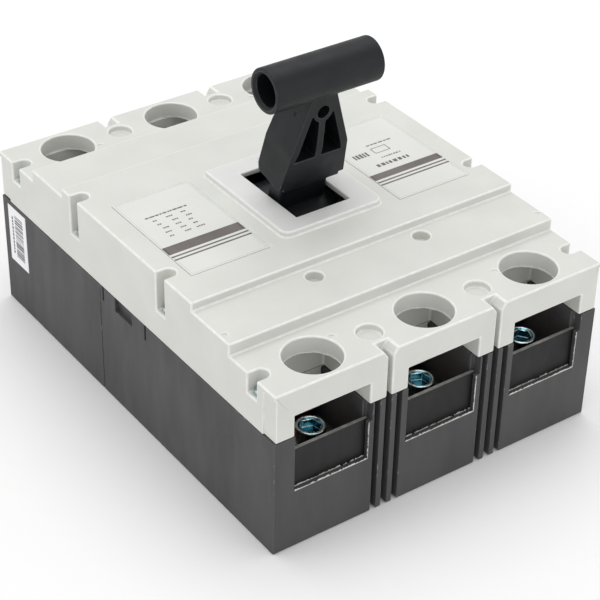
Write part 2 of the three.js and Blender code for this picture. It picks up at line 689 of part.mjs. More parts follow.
function mainSpring(x) {
  const [low, high] = SPRING_ENDS.map(([y, z]) => new THREE.Vector3(x, y, z));
  const along = high.clone().sub(low);
  const side = new THREE.Vector3(1, 0, 0);
  const up = along.clone().normalize().cross(side);
  const points = [];
  const steps = SPRING_TURNS * SPRING_SIDES;
  for (let index = 0; index <= steps; index += 1) {
    const angle = (index / SPRING_SIDES) * Math.PI * 2;
    points.push(low.clone()
      .addScaledVector(along, index / steps)
      .addScaledVector(side, Math.cos(angle) * SPRING_RADIUS)
      .addScaledVector(up, Math.sin(angle) * SPRING_RADIUS));
  }
  const section = new THREE.Shape();
  section.absarc(0, 0, SPRING_WIRE, 0, Math.PI * 2);
  return toSolid(new THREE.ExtrudeGeometry(section, {
    steps: steps + 2, curveSegments: 2, extrudePath: new THREE.CatmullRomCurve3(points), bevelEnabled: false,
  }));
}

// ---------------------------------------------------------------- handle
// Drawn upright about the pivot: Y is its thickness, Z its length.

const STEM_X = 15.5;
const STEM_Y = 5.6;
const STEM_TOP = 78.5;
const APRON_OUTER = 42.5;
const APRON_INNER = 39.5;
const APRON_HALF_ANGLE = THREE.MathUtils.degToRad(38);
const APRON_HALF = 21;
const YOKE_TOP = 38.8;
const YOKE_PLATE = [12, 14.5];
const YOKE_HALF = 5;
const YOKE_BRIDGE = 3;
const YOKE_EYE = 6;
const TRUNNION_END = 20.5;

function toggleHandle() {
  const from = Math.PI / 2 - APRON_HALF_ANGLE;
  const to = Math.PI / 2 + APRON_HALF_ANGLE;
  const arc = new THREE.Shape();
  arc.absarc(0, 0, APRON_OUTER, from, to, false);
  arc.absarc(0, 0, APRON_INNER, to, from, true);
  const section = roundedRect([-STEM_X, STEM_X], [-STEM_Y, STEM_Y], 1.5, 1.5);
  const stem = prism('z', section, [APRON_INNER + 1, STEM_TOP], 3);
  return prism('x', arc, span(0, APRON_HALF), 16).add(stem);
}

function handleYoke() {
  const thick = span(0, YOKE_HALF);
  const parts = [block(span(0, YOKE_PLATE[1]), thick, [YOKE_TOP - YOKE_BRIDGE, YOKE_TOP])];
  for (const side of SIDES) {
    const plate = mirrored(YOKE_PLATE, side);
    parts.push(block(plate, thick, [0, YOKE_TOP]));
    parts.push(rodX(0, 0, YOKE_EYE, plate, 18));
    parts.push(rodX(0, 0, TRUNNION.radius, mirrored([YOKE_PLATE[1] - ROOT, TRUNNION_END], side), 16));
  }
  return join(parts);
}

const GRIP_Z = 127;
const GRIP_RADIUS = 12.3;
const GRIP_BORE = 8.8;
const GRIP_HALF = 34.1;
const GRIP_FLARE = 1.6;            // chamfer at the mouth of the bore
const GRIP_CHAMFER = 0.6;
const EYE_Z = 109;
const EYE_RADIUS = 3.8;
const EYE_BOSS = 6.2;
const POCKET_DEPTH = 3;            // the pockets' floors stand this far behind the handle's middle
const POCKET = [[80.5, 2], [80.5, 15.2], [107.5, 6.9], [106, 2]];      // height and X, on one side
const SOCKET_PLAY = 0.4;           // round the toggle's stem
const LEVER_REACH = 15;            // more than half the lever's thickness
const LEVER_FRONT = [              // height and X
  [60, -18], [60, 18], [62, 18.2], [62, 21.3], [85, 18.6], [120, 7.4],
  [120, -7.4], [85, -18.6], [62, -21.3], [62, -18.2],
];
const LEVER_SIDE = [               // thickness and height
  [-10.4, 59], [8, 59], [11.5, 66], [12, 95], [8.6, 121], [-8.4, 121], [-12, 86],
];

function gripTube() {
  const profile = [
    [GRIP_BORE, GRIP_HALF - GRIP_FLARE], [GRIP_BORE + GRIP_FLARE, GRIP_HALF],
    [GRIP_RADIUS - GRIP_CHAMFER, GRIP_HALF], [GRIP_RADIUS, GRIP_HALF - GRIP_CHAMFER],
  ];
  const ring = [...profile.map(([r, h]) => [r, -h]), ...profile.slice().reverse()];
  ring.push(ring[0]);
  const geometry = new THREE.LatheGeometry(ring.map(([r, h]) => new THREE.Vector2(r, h)), 36);
  geometry.rotateZ(Math.PI / 2);
  geometry.translate(0, 0, GRIP_Z);
  return toSolid(geometry);
}

function extensionPockets() {
  const pockets = SIDES.map((side) => (
    prism('y', POCKET.map(([z, x]) => [z, x * side]), [-LEVER_REACH, POCKET_DEPTH])
  ));
  const boss = rodY(0, EYE_Z, EYE_BOSS, [-LEVER_REACH - ROOT, POCKET_DEPTH + ROOT], 24);
  return join(pockets).subtract(boss);
}

function extensionHandle() {
  const across = span(0, GRIP_HALF);
  const body = prism('y', LEVER_FRONT, span(0, LEVER_REACH)).intersect(prism('x', LEVER_SIDE, across));
  const low = LEVER_SIDE[0][1] - ROOT;
  const stemRoom = span(0, STEM_X + SOCKET_PLAY);
  const socket = block(stemRoom, span(0, STEM_Y + SOCKET_PLAY), [low, STEM_TOP + SOCKET_PLAY]);
  const eye = rodY(0, EYE_Z, EYE_RADIUS, span(0, LEVER_REACH), 20);
  const bore = rodX(0, GRIP_Z, GRIP_BORE + ROOT, across, 24);
  return body
    .subtract(join([socket, extensionPockets(), eye, bore]))
    .add(gripTube());
}

// ---------------------------------------------------------------- assembly

node('base', buildBase(), 'base');
node('cover', buildCover(), 'cover');

POLES.forEach((x, index) => {
  const number = index + 1;
  node(`line_terminal_${number}`, lineTerminal(x), 'copper');
  node(`load_terminal_${number}`, terminalBar(x, 1, LOAD_BAR_INNER), 'copper');
  node(`arc_chute_${number}`, arcChute(x), 'fibre');
  node(`flexible_braid_${number}`, flexibleBraid(x), 'copper');
  node(`magnet_core_${number}`, magnetCore(x), 'steel');
  node(`bimetal_${number}`, bimetalStrip(x), 'bimetal');
  for (const end of ENDS) {
    node(`${end.name}_shutter_${number}`, shutter(x, end.dir), 'shutter');
    node(`${end.name}_terminal_bolt_${number}`, terminalBolt(x, end.dir * TERMINAL_Y), 'zinc');
  }
});

SIDES.forEach((side) => {
  const label = side < 0 ? 'left' : 'right';
  SCREW_YS.forEach((y, index) => {
    node(`cover_screw_${label}_${index + 1}`, coverScrew(side * SCREW_X, y), 'zinc');
  });
  node(`mechanism_plate_${label}`, sidePlate(side), 'steel');
  node(`main_spring_${label}`, mainSpring(side * SPRING_X), 'steel');
  const labelZ = [TOP_Z - LABEL_THICK, TOP_Z];
  node(`data_label_${label}`, block(mirrored(LABEL_X, side), LABEL_Y, labelZ), 'paper');
});
node('code_sticker', block([-HALF_W, -HALF_W + LABEL_THICK], STICKER_Y, STICKER_Z), 'paper');

node('trip_bar', tripBar(), 'moulded');
node('cradle', cradle(), 'steel');
node('cradle_pin', crossPin(CRADLE_Y, CRADLE_Z), 'steel');
node('spacer_pin', crossPin(SPACER.y, SPACER.z), 'steel');

const contacts = turnedGroup(SHAFT_Y, SHAFT_Z, -SHAFT_OPEN);
node('contact_shaft', contactShaft(), 'moulded', contacts);
node('toggle_link', toggleLink(), 'steel', contacts);
POLES.forEach((x, index) => node(`contact_arm_${index + 1}`, contactArm(x), 'copper', contacts));

const handle = turnedGroup(HANDLE_Y, HANDLE_Z, HANDLE_LEAN);
node('toggle_handle', toggleHandle(), 'black', handle);
node('handle_yoke', handleYoke(), 'steel', handle);
node('extension_handle', extensionHandle(), 'black', handle);

export default breaker;
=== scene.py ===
"""Looks of a three-pole molded case circuit breaker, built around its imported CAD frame.

Metres, in the row frame: X across the poles, Y from the line end to the load end, Z out of
the mounting face. Lengths written in millimetres go through mm().
"""

import json
import math
from random import Random

import bmesh
import bpy
from mathutils import Matrix, Vector


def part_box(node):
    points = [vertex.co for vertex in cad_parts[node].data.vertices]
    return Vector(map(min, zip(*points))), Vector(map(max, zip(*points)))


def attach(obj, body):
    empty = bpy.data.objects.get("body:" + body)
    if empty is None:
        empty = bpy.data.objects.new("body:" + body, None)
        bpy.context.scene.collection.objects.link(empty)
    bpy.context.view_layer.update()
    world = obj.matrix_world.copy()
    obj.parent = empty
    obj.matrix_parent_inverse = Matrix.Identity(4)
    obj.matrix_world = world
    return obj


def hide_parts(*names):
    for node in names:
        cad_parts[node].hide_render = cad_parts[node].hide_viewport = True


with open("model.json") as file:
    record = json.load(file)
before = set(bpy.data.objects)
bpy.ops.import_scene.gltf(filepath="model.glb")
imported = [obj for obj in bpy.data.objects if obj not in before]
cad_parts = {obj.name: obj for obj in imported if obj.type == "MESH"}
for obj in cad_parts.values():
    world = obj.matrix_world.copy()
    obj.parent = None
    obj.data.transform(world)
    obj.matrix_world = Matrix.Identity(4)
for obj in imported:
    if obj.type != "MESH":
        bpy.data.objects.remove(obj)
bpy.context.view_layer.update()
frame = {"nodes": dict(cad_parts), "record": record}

BODY = "housing"
POLES = (1, 2, 3)
ENDS = ("line", "load")
SIDES = ("left", "right")
SCREW_NUMBERS = (1, 2, 3, 4)
SMOOTH = 64          # sides of a round shape that is seen close up
PROUD = 0.02         # mm that a round cutter stands past the faceted CAD hole it opens up


def mm(*values):
    """Millimetres to metres: one number, or a vector for three."""
    if len(values) == 1:
        return values[0] / 1000
    return Vector(values) / 1000


def middle(node):
    """Centre of a CAD node's box, in metres."""
    low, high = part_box(node)
    return (low + high) / 2


# ---------------------------------------------------------------- materials

def linear(red, green, blue):
    """A colour given in the 0-255 numbers of a colour picker, as the shader wants it."""
    def channel(value):
        share = value / 255
        return share / 12.92 if share <= 0.04045 else ((share + 0.055) / 1.055) ** 2.4
    return (channel(red), channel(green), channel(blue), 1.0)


class Finish:
    """A procedural material: colour variation, specks, uneven gloss and a fine grain."""

    def __init__(self, name, metallic=0.0, specular=0.5):
        self.material = bpy.data.materials.new(name)
        self.material.use_nodes = True
        self.tree = self.material.node_tree
        self.shader = self.tree.nodes["Principled BSDF"]
        self.shader.inputs["Metallic"].default_value = metallic
        self.shader.inputs["Specular IOR Level"].default_value = specular
        self.coordinates = self.tree.nodes.new("ShaderNodeTexCoord").outputs["Object"]

    def link(self, source, target):
        self.tree.links.new(source, target)

    def noise(self, scale, detail=3.0, stretch=(1.0, 1.0, 1.0)):
        """Noise with about scale lumps to the metre, drawn out along an axis by stretch below 1."""
        mapping = self.tree.nodes.new("ShaderNodeMapping")
        mapping.inputs["Scale"].default_value = stretch
        self.link(self.coordinates, mapping.inputs["Vector"])
        texture = self.tree.nodes.new("ShaderNodeTexNoise")
        texture.inputs["Scale"].default_value = scale
        texture.inputs["Detail"].default_value = detail
        self.link(mapping.outputs["Vector"], texture.inputs["Vector"])
        return texture.outputs["Fac"]

    def spread(self, value, low, high, to_low=0.0, to_high=1.0):
        """The value's stretch from low to high, mapped on to_low to to_high."""
        ranged = self.tree.nodes.new("ShaderNodeMapRange")
        for socket, number in zip(("From Min", "From Max", "To Min", "To Max"), (low, high, to_low, to_high)):
            ranged.inputs[socket].default_value = number
        self.link(value, ranged.inputs["Value"])
        return ranged.outputs["Result"]

    def blend(self, factor, first, second):
        """Mixes two colours; each is a socket or four numbers."""
        mix = self.tree.nodes.new("ShaderNodeMix")
        mix.data_type = "RGBA"
        self.link(factor, mix.inputs["Factor"])
        for socket, colour in ((mix.inputs[6], first), (mix.inputs[7], second)):
            if isinstance(colour, tuple):
                socket.default_value = colour
            else:
                self.link(colour, socket)
        return mix.outputs[2]

    def colour(self, source):
        self.link(source, self.shader.inputs["Base Color"])

    def gloss(self, value, low, high):
        """Roughness that wanders from low to high with the value."""
        self.link(self.spread(value, 0.3, 0.7, low, high), self.shader.inputs["Roughness"])

    def relief(self, height, depth, strength=0.6):
        """Bump of the given depth in millimetres."""
        bump = self.tree.nodes.new("ShaderNodeBump")
        bump.inputs["Strength"].default_value = strength
        bump.inputs["Distance"].default_value = mm(depth)
        self.link(height, bump.inputs["Height"])
        self.link(bump.outputs["Normal"], self.shader.inputs["Normal"])


def moulded(name, deep, pale, gloss, grain=900, grain_depth=0.05, speck=None, stretch=(1, 1, 1),
            specular=0.5):
    """Moulded plastic: two close tones, an eroded grain, and specks of a third tone."""
    finish = Finish(name, specular=specular)
    clouds = finish.noise(38, 4, stretch)
    tone = finish.blend(finish.spread(clouds, 0.3, 0.7), deep, pale)
    if speck:
        colour, amount = speck
        dots = finish.noise(1500, 2)
        tone = finish.blend(finish.spread(dots, 0.72 - amount, 0.78, 0, 0.8), tone, colour)
    finish.colour(tone)
    finish.gloss(finish.noise(120, 3, stretch), *gloss)
    finish.relief(finish.noise(grain, 3), grain_depth)
    return finish.material


def metal(name, deep, pale, gloss, stretch=(1, 1, 1), grain=700, grain_depth=0.02):
    """Plated or drawn metal, with a tint that drifts and fine drawing lines along an axis."""
    finish = Finish(name, metallic=1.0)
    tone = finish.blend(finish.spread(finish.noise(160, 3), 0.35, 0.65), deep, pale)
    finish.colour(tone)
    finish.gloss(finish.noise(grain, 4, stretch), *gloss)
    finish.relief(finish.noise(grain, 3, stretch), grain_depth, 0.4)
    return finish.material


def highlight_and_wear(name, deep, pale, gloss, share=0.5):
    """The paler edge of a moulding, broken up along its length: a painted highlight where the edge catches
    the light, mixed with rubbed wear.
    """
    finish = Finish(name)
    breaks = finish.noise(260, 4)
    finish.colour(finish.blend(finish.spread(breaks, 0.62 - share / 4, 0.72, 0, 1), deep, pale))
    finish.gloss(finish.noise(300, 2), *gloss)
    finish.relief(finish.noise(1100, 3), 0.03)
    return finish.material


# Colours for bevel faces, paler than their mouldings: painted edge highlights mixed with wear.
LIGHT_EDGE = highlight_and_wear("cover_edge_highlight_and_wear", linear(232, 233, 229), linear(244, 244, 241), (0.35, 0.5), 1.0)
DARK_EDGE = highlight_and_wear("base_edge_highlight_and_wear", linear(78, 77, 78), linear(132, 131, 130), (0.5, 0.65), 0.1)
SHUTTER_TOP_HIGHLIGHT = highlight_and_wear("shutter_top_highlight", linear(118, 117, 114), linear(150, 149, 146), (0.4, 0.55), 0.8)
BLACK_EDGE = highlight_and_wear("handle_edge_highlight_and_wear", linear(34, 36, 39), linear(60, 62, 66), (0.36, 0.5), 0.4)

MATERIALS = {
    "cover": moulded("cover", linear(213, 214, 208), linear(219, 220, 214), (0.4, 0.52),
                     speck=(linear(198, 199, 193), 0.02)),
    "base": moulded("base", linear(68, 67, 68), linear(80, 79, 80), (0.55, 0.7), grain=1200, grain_depth=0.07,
                    speck=(linear(112, 111, 111), 0.05), stretch=(1, 1, 0.25), specular=0.4),
    "handle": moulded("handle", linear(13, 15, 19), linear(20, 22, 26), (0.4, 0.54), grain=1400,
                      grain_depth=0.04, specular=0.36),
    "shutter": moulded("shutter", linear(14, 14, 14), linear(24, 24, 24), (0.5, 0.62), stretch=(1, 1, 0.4),
                       specular=0.4),
    "zinc": metal("zinc", linear(128, 164, 174), linear(214, 222, 222), (0.14, 0.28)),
    "steel": metal("steel", linear(150, 152, 154), linear(186, 188, 190), (0.3, 0.5), (1, 0.1, 1)),
    "copper": metal("copper", linear(176, 108, 76), linear(206, 138, 100), (0.25, 0.45), (1, 0.08, 1)),
    "deion": metal("deion", linear(126, 128, 132), linear(160, 162, 164), (0.35, 0.55)),
    "bimetal": metal("bimetal", linear(170, 160, 134), linear(196, 188, 166), (0.3, 0.45), (1, 1, 0.1)),
    "mechanism_plastic": moulded("mechanism_plastic", linear(98, 58, 36), linear(122, 76, 48), (0.45, 0.6)),
    "label": moulded("label", linear(219, 220, 215), linear(224, 225, 220), (0.42, 0.5), grain=400,
                     grain_depth=0.01),
}
INK = moulded("label_ink", linear(96, 90, 88), linear(116, 110, 106), (0.4, 0.5), grain=500, grain_depth=0.01,
              speck=(linear(206, 206, 202), 0.03))
BARCODE_INK = moulded("barcode_ink", linear(40, 40, 40), linear(62, 62, 62), (0.5, 0.6), grain=500,
                      grain_depth=0.01)
STICKER = moulded("sticker_paper", linear(242, 242, 244), linear(248, 248, 250), (0.5, 0.6), grain=600,
                  grain_depth=0.01)
FLASH = moulded("moulding_flash", linear(190, 189, 186), linear(224, 223, 220), (0.5, 0.7))
HAIRLINE = moulded("label_hairline", linear(196, 197, 192), linear(204, 205, 200), (0.42, 0.5), grain=400,
                   grain_depth=0.01)
# Darker teal zinc for the inside of the hex sockets: painted shade in the recess, over the zinc's own teal
# tint.
SOCKET_ZINC_SHADED = metal("socket_zinc_painted_shade", linear(20, 84, 108), linear(120, 178, 190), (0.08, 0.16))
# Paler zinc on the bevelled rims of bolts and screws: a painted highlight.
ZINC_RIM_HIGHLIGHT = metal("zinc_rim_highlight", linear(206, 214, 214), linear(240, 243, 242), (0.16, 0.3))
SURROUND = moulded("surround", linear(220, 221, 219), linear(226, 227, 225), (0.34, 0.44))


def paint(obj, *materials):
    obj.data.materials.clear()
    for material in materials:
        obj.data.materials.append(material)


# ---------------------------------------------------------------- mesh tools

def new_object(name, bm):
    mesh = bpy.data.meshes.new(name)
    bm.to_mesh(mesh)
    bm.free()
    obj = bpy.data.objects.new(name, mesh)
    bpy.context.scene.collection.objects.link(obj)
    return obj


def add_prism(bm, outline, low, high, place=Matrix.Identity(4)):
    """A closed outline, counter-clockwise in XY, drawn out from low to high along Z and placed."""
    rings = [[bm.verts.new(place @ Vector((x, y, z))) for x, y in outline] for z in (low, high)]
    count = len(outline)
    for index in range(count):
        after = (index + 1) % count
        bm.faces.new((rings[0][index], rings[0][after], rings[1][after], rings[1][index]))
    bm.faces.new(list(reversed(rings[0])))
    bm.faces.new(rings[1])


def add_block(bm, low, high):
    """A box between two corners."""
    outline = [(low[0], low[1]), (high[0], low[1]), (high[0], high[1]), (low[0], high[1])]
    add_prism(bm, outline, low[2], high[2])


def circle(radius, sides=SMOOTH, start=0.0):
    angles = [start + math.tau * index / sides for index in range(sides)]
    return [(radius * math.cos(angle), radius * math.sin(angle)) for angle in angles]


def add_rod(bm, centre, radius, low, high, sides=SMOOTH):
    """An upright cylinder between two heights."""
    add_prism(bm, circle(radius, sides), low, high, Matrix.Translation((centre[0], centre[1], 0)))


def add_turned(bm, profile, place, sides=SMOOTH):
    """A profile of (radius, height) points turned about Z; both ends are on the axis, or it closes."""
    closed = profile[0] == profile[-1]
    points = profile[:-1] if closed else profile
    rings = []
    for radius, height in points:
        if radius == 0:
            rings.append([bm.verts.new(place @ Vector((0, 0, height)))])
        else:
            rings.append([bm.verts.new(place @ Vector((x, y, height))) for x, y in circle(radius, sides)])
    pairs = list(zip(rings, rings[1:]))
    if closed:
        pairs.append((rings[-1], rings[0]))
    for lower, upper in pairs:
        for index in range(sides):
            after = (index + 1) % sides
            corners = [lower[index % len(lower)], lower[after % len(lower)],
                       upper[after % len(upper)], upper[index % len(upper)]]
            bm.faces.new(list(dict.fromkeys(corners)))


def boolean(target, operation, fill):
    """Joins to, or cuts from, the target the closed shapes that fill(bm) draws."""
    bm = bmesh.new()
    fill(bm)
    tool = new_object("tool", bm)
    modifier = target.modifiers.new("boolean", "BOOLEAN")
    modifier.operation = operation
    modifier.solver = "EXACT"
    modifier.object = tool
    graph = bpy.context.evaluated_depsgraph_get()
    mesh = bpy.data.meshes.new_from_object(target.evaluated_get(graph))
    target.modifiers.remove(modifier)
    target.data = mesh
    bpy.data.objects.remove(tool)


def copy_node(node, name):
    """A new piece with the CAD node's shape that stands for the node."""
    piece = bpy.data.objects.new(name, frame["nodes"][node].data.copy())
    bpy.context.scene.collection.objects.link(piece)
    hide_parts(node)
    return piece


COPLANAR = math.radians(0.6)
SAME_CORNER = mm(0.07)


def merge_flat_faces(piece):
    """Joins corners that nearly coincide, and the triangles of each flat face."""
    bm = bmesh.new()
    bm.from_mesh(piece.data)
    bmesh.ops.remove_doubles(bm, verts=bm.verts, dist=SAME_CORNER)
    bmesh.ops.dissolve_limit(bm, angle_limit=COPLANAR, verts=bm.verts, edges=bm.edges)
    bm.to_mesh(piece.data)
    bm.free()


def even_triangles(bm):
    """Splits every face into triangles, as far from slivers as its corners allow."""
    bmesh.ops.triangulate(bm, faces=bm.faces, quad_method="BEAUTY", ngon_method="BEAUTY")
    inner = [edge for edge in bm.edges if len(edge.link_faces) == 2 and edge.calc_face_angle() < COPLANAR]
    bmesh.ops.beautify_fill(bm, faces=bm.faces, edges=inner, method="ANGLE")


def edge_room(edge):
    """Length of the shortest edge that meets this one at an angle: how far its bevel can reach."""
    along = (edge.verts[1].co - edge.verts[0].co).normalized()
    room = math.inf
    for vert in edge.verts:
        for other in vert.link_edges:
            if other is edge:
                continue
            direction = (other.other_vert(vert).co - vert.co).normalized()
            if abs(direction.dot(along)) < 0.9:
                room = min(room, other.calc_length())
    return room


FLAT_FACE = 60e-6        # square metres above which a face is a wall of its own, not a curve's facet
CREASE = math.radians(3)
REAL_EDGE = math.radians(28)
BEVEL_SHARE = 0.4        # most of a neighbouring edge that a bevel may take
NORMAL_WEIGHT = 80


def round_edges(piece, width, segments):
    """Bevels each real edge by up to width millimetres, in the piece's second material: a paler colour that
    paints a highlight on the edge.
    """
    merge_flat_faces(piece)
    bm = bmesh.new()
    bm.from_mesh(piece.data)
    weights = bm.edges.layers.float.new("bevel_weight_edge")
    for edge in bm.edges:
        if len(edge.link_faces) != 2:
            continue
        angle = edge.calc_face_angle()
        if angle > REAL_EDGE:
            edge[weights] = min(1.0, BEVEL_SHARE * edge_room(edge) / mm(width))
        elif angle > CREASE and min(face.calc_area() for face in edge.link_faces) > FLAT_FACE:
            edge.smooth = False
    even_triangles(bm)
    for face in bm.faces:
        face.smooth = True
    bm.to_mesh(piece.data)
    bm.free()
    bevel = piece.modifiers.new("bevel", "BEVEL")
    bevel.limit_method = "WEIGHT"
    bevel.width = mm(width)
    bevel.segments = segments
    bevel.use_clamp_overlap = False
    bevel.loop_slide = False
    bevel.material = 1
    normals = piece.modifiers.new("normals", "WEIGHTED_NORMAL")
    normals.weight = NORMAL_WEIGHT
    normals.keep_sharp = True


def soften_node(node, width):
    """Rounds the edges of a CAD node that is shown as it is."""
    obj = frame["nodes"][node]
    for face in obj.data.polygons:
        face.use_smooth = True
    merge = obj.modifiers.new("merge", "DECIMATE")
    merge.decimate_type = "DISSOLVE"
    merge.angle_limit = COPLANAR
    bevel = obj.modifiers.new("bevel", "BEVEL")
    bevel.width = mm(width)
    bevel.segments = 2
    bevel.angle_limit = math.radians(30)
    obj.modifiers.new("normals", "WEIGHTED_NORMAL").weight = NORMAL_WEIGHT


def settle(piece):
    """Fixes a piece to the housing."""
    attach(piece, BODY)


# ---------------------------------------------------------------- carried-over CAD nodes

SLOTS = {part["node"]: part["material_slot"] for part in frame["record"]["subparts"]}

for node_name, node_object in frame["nodes"].items():
    paint(node_object, MATERIALS[SLOTS[node_name]])
paint(frame["nodes"]["code_sticker"], STICKER)

for end in ENDS:
    for pole in POLES:
        shutter = frame["nodes"][f"{end}_shutter_{pole}"]
        # Faces of each shutter that point up take a paler colour: a painted highlight along the top edge,
        # where the overhead light falls.
        paint(shutter, MATERIALS["shutter"], SHUTTER_TOP_HIGHLIGHT)
        for face in shutter.data.polygons:
            face.material_index = int(face.normal.z > 0.9)
        soften_node(shutter.name, 0.3)
        soften_node(f"{end}_terminal_{pole}", 0.3)
for node_name in ("toggle_handle", "cradle", "handle_yoke", "contact_shaft", "toggle_link", "trip_bar"):
    soften_node(node_name, 0.5)
for side in SIDES:
    soften_node(f"mechanism_plate_{side}", 0.3)

# ---------------------------------------------------------------- housing

BOLTS = [middle(f"{end}_terminal_bolt_{pole}") for end in ENDS for pole in POLES]
SCREWS = [middle(f"cover_screw_{side}_{number}") for side in SIDES for number in SCREW_NUMBERS]
POLE_PITCH = middle("line_terminal_bolt_2").x - middle("line_terminal_bolt_1").x
TERMINAL_Y = BOLTS[-1].y
COVER_LOW, COVER_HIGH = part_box("cover")
BASE_LOW, BASE_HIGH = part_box("base")
LOW_STEP, MID_STEP, TOP_STEP = mm(100), mm(107), mm(112)
ACCESS_RADIUS = 15.5
COLLAR_LOW = 89.6        # height of the lower edge of an access hole's collar
BORE_RADIUS = 7
BORE_WIDE = 8.5          # below the cover's top wall
BORE_WALL = 4            # thickness of that wall
PIT = {"radius": 4.8, "depth": 6, "y": -74}
DOT = {"radius": 1.8, "depth": 1.2}
MID_DOT = (101.8, -91.6)
LOW_DOT = (52.85, 114)
RECESS_RADIUS = 4
RECESS_LOW = 88
BORE_SEAT = 14           # height of the counterbore's floor in the base
HOLE_RADIUS = 3.5
SCRIBE = ((-41.15, -45.5, 111.85), (-40.85, 26, 113))
BORES = [(side * POLE_PITCH / 2, end * TERMINAL_Y) for side in (-1, 1) for end in (-1, 1)]


def open_cover_holes(bm):
    dot = mm(DOT["radius"] + PROUD)
    for bolt in BOLTS:
        add_rod(bm, bolt, mm(ACCESS_RADIUS + PROUD), mm(COLLAR_LOW), LOW_STEP + mm(2), 96)
    for bore in BORES:
        add_rod(bm, bore, mm(BORE_RADIUS + PROUD), LOW_STEP - mm(BORE_WALL + 1), LOW_STEP + mm(2))
        add_rod(bm, bore, mm(BORE_WIDE + PROUD), COVER_LOW.z - mm(1), LOW_STEP - mm(BORE_WALL))
    for side in (-1, 1):
        pit = (side * POLE_PITCH / 2, mm(PIT["y"]))
        add_rod(bm, pit, mm(PIT["radius"] + PROUD), MID_STEP - mm(PIT["depth"]), MID_STEP + mm(2))
        spot = (side * mm(MID_DOT[0]), mm(MID_DOT[1]))
        add_rod(bm, spot, dot, MID_STEP - mm(DOT["depth"]), MID_STEP + mm(1), 24)
        for end in (-1, 1):
            spot = (side * mm(LOW_DOT[0]), end * mm(LOW_DOT[1]))
            add_rod(bm, spot, dot, LOW_STEP - mm(DOT["depth"]), LOW_STEP + mm(1), 24)


def open_screw_recesses(bm):
    for screw in SCREWS:
        add_rod(bm, screw, mm(RECESS_RADIUS + PROUD), mm(RECESS_LOW), TOP_STEP + mm(1), 48)


def scribe_line(bm):
    """A faint line in the cover, left of the handle's surround."""
    add_block(bm, mm(*SCRIBE[0]), mm(*SCRIBE[1]))


def paint_surround(piece):
    """Gives the raised plate round the handle its own, slightly whiter finish."""
    piece.data.materials.append(SURROUND)
    for face in piece.data.polygons:
        x, y, z = face.center
        if abs(x) < mm(33) and mm(-44) < y < mm(34.5) and z > TOP_STEP + mm(0.05):
            face.material_index = 2


def build_cover():
    cover = copy_node("cover", "cover_shell")
    boolean(cover, "DIFFERENCE", open_cover_holes)
    boolean(cover, "DIFFERENCE", open_screw_recesses)
    boolean(cover, "DIFFERENCE", scribe_line)
    paint(cover, MATERIALS["cover"], LIGHT_EDGE)
    round_edges(cover, 0.9, 3)
    paint_surround(cover)
    settle(cover)


def open_base_bores(bm):
    for bore in BORES:
        add_rod(bm, bore, mm(BORE_RADIUS + PROUD), mm(BORE_SEAT), BASE_HIGH.z + mm(1))
        add_rod(bm, bore, mm(HOLE_RADIUS + PROUD), BASE_LOW.z - mm(1), mm(BORE_SEAT - 0.1), 40)


def build_base():
    base = copy_node("base", "base_shell")
    boolean(base, "DIFFERENCE", open_base_bores)
    paint(base, MATERIALS["base"], DARK_EDGE)
    round_edges(base, 0.45, 2)
    settle(base)


build_cover()
build_base()

# ---------------------------------------------------------------- moulding flash
# Pale ragged burrs left where the mould of the base closed, along the openings at its line end.

FLASH_STEP = 0.45        # mm from one tooth to the next
FLASH_PROUD = 0.12       # mm off the wall
SILL = 36.8
BAY_HALF = 22.5
NOTCH_LOW = 60


def ragged_strip(random, length, tall):
    """Outline of a burr: straight below, torn above, now and then nearly gone."""
    count = round(length / FLASH_STEP)
    top = []
    lull = 0
    for index in range(count + 1):
        if lull == 0 and random.random() < 0.07:
            lull = random.randint(2, 5)
        lull = max(0, lull - 1)
        height = random.uniform(0.25, 1.0) * (0.3 if lull else 1)
        top.append(mm(index * FLASH_STEP, tall * height))
    ends = [mm(0, 0), mm(length, 0)]
    return [tuple(point) for point in ends + top[::-1]]


GROOVE = 2.6             # from the base's end face back to the shutter's groove


def build_flash(pole):
    random = Random(40 + pole)
    centre = middle(f"line_terminal_bolt_{pole}").x
    bm = bmesh.new()
    upright = Matrix.Rotation(math.pi / 2, 4, "X")
    wall = BASE_LOW.y
    along = Matrix.Translation((centre - mm(BAY_HALF), wall, mm(SILL - 0.5))) @ upright
    add_prism(bm, ragged_strip(random, 2 * BAY_HALF, 1.25), mm(-0.05), mm(FLASH_PROUD), along)
    back = Matrix.Translation((0, mm(GROOVE), 0)) @ along
    add_prism(bm, ragged_strip(random, 2 * BAY_HALF, 1.5), mm(-0.05), mm(FLASH_PROUD), back)
    corner = Matrix.Translation((centre + mm(BAY_HALF + 0.55), wall, mm(SILL - 0.4)))
    rising = corner @ upright @ Matrix.Rotation(math.pi / 2, 4, "Z")
    add_prism(bm, ragged_strip(random, NOTCH_LOW - SILL, 0.8), mm(-0.05), mm(FLASH_PROUD), rising)
    flash = new_object(f"flash_{pole}", bm)
    paint(flash, FLASH)
    settle(flash)


def add_torn_ring(bm, random, centre, radius, level, tall):
    """A thin upright ring inside a hole, torn along its lower edge."""
    sides = 90
    inner, outer = [], []
    for x, y in circle(1, sides):
        low = level - tall * random.uniform(0.3, 1)
        column = []
        for reach in (radius - mm(0.18), radius + mm(0.1)):
            for height in (low, level + mm(0.3)):
                column.append(bm.verts.new((centre[0] + reach * x, centre[1] + reach * y, height)))
        inner.append(column[:2])
        outer.append(column[2:])
    for index in range(sides):
        after = (index + 1) % sides
        near, far = inner[index], inner[after]
        near_out, far_out = outer[index], outer[after]
        bm.faces.new((near[0], near[1], far[1], far[0]))
        bm.faces.new((near_out[0], far_out[0], far_out[1], near_out[1]))
        bm.faces.new((near[1], near_out[1], far_out[1], far[1]))
        bm.faces.new((near[0], far[0], far_out[0], near_out[0]))


